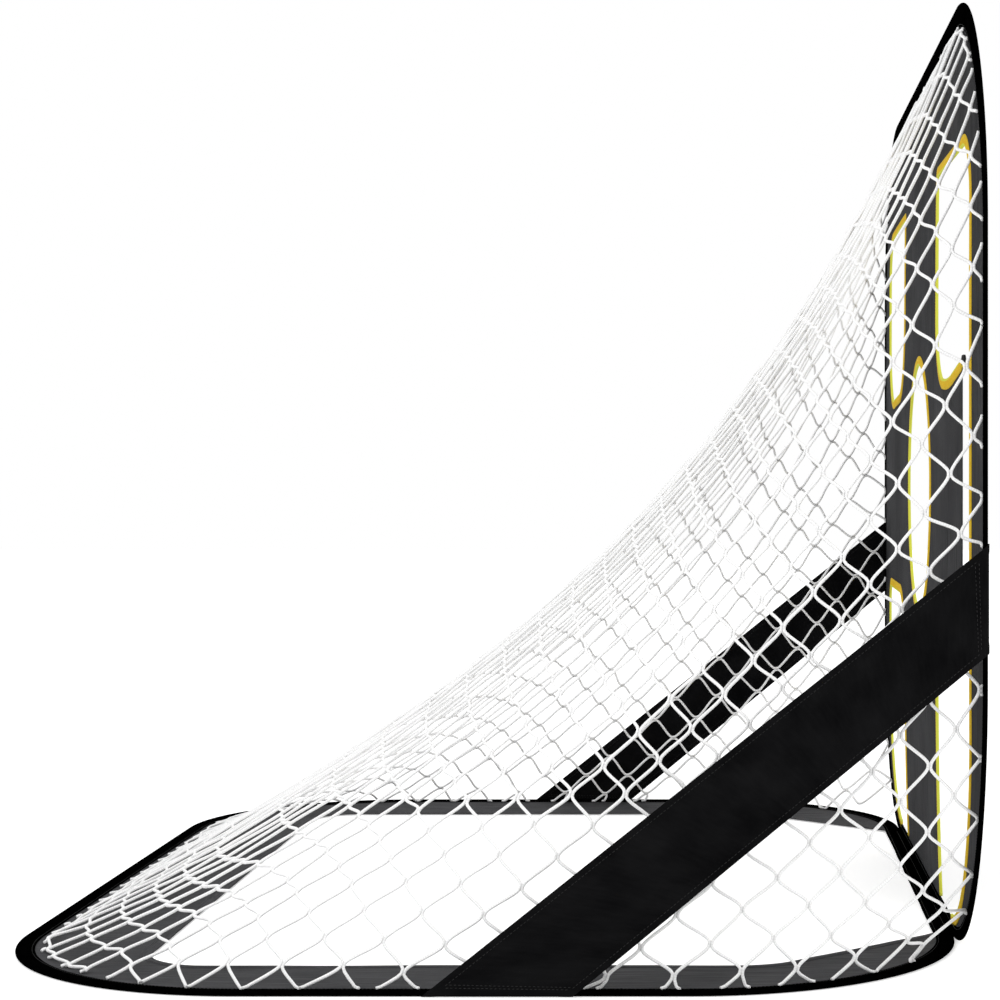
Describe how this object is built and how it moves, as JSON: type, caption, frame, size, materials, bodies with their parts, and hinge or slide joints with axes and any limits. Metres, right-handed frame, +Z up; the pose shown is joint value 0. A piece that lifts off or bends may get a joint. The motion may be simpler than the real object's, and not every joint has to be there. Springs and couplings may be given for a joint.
{
  "type": "soccer goal",
  "caption": "Pop-up soccer goal: hinged wire hoops in cloth sleeves, a target face with piped ball holes, a sloping white net and side straps.",
  "frame": {"origin": "on the ground, under the middle of the goal's width and depth", "axes": "+Z up, +X along the goal's width, -Y towards the player, so the target face looks along -Y"},
  "size_m": [1.2226, 0.92, 0.915],
  "materials": {
    "sleeve_cloth": "black woven polyester, matte",
    "panel_cloth": "dark grey woven polyester, matte",
    "strap_cloth": "black woven polyester, slightly wrinkled",
    "piping_cloth": "lime yellow binding tape",
    "net_cord": "white knotless polyester cord",
    "spring_steel": "oiled spring wire",
    "ferrule_steel": "zinc plated"
  },
  "bodies": {
    "base": {"base_wire": "spring_steel", "base_wire_ferrule": "ferrule_steel", "base_sleeve": "sleeve_cloth", "base_border": "panel_cloth", "net": "net_cord", "side_strap_left": "strap_cloth", "side_strap_right": "strap_cloth", "hinge_tape": "sleeve_cloth"},
    "front": {"front_wire": "spring_steel", "front_wire_ferrule": "ferrule_steel", "front_sleeve": "sleeve_cloth", "target_panel": "panel_cloth", "piping_top_left": "piping_cloth", "piping_top_right": "piping_cloth", "piping_bottom_left": "piping_cloth", "piping_bottom_right": "piping_cloth", "piping_centre": "piping_cloth"}
  },
  "joints": [
    {"name": "fold", "type": "hinge", "parent": "base", "child": "front", "pos_m": [0, -0.4534, 0.0066], "axis": [-1, 0, 0], "range_deg": [0, 90], "stiffness_Nm_per_rad": 1.2, "springref_deg": -20.05, "deforming": ["net", "side_strap_left", "side_strap_right", "hinge_tape"]}
  ]
}
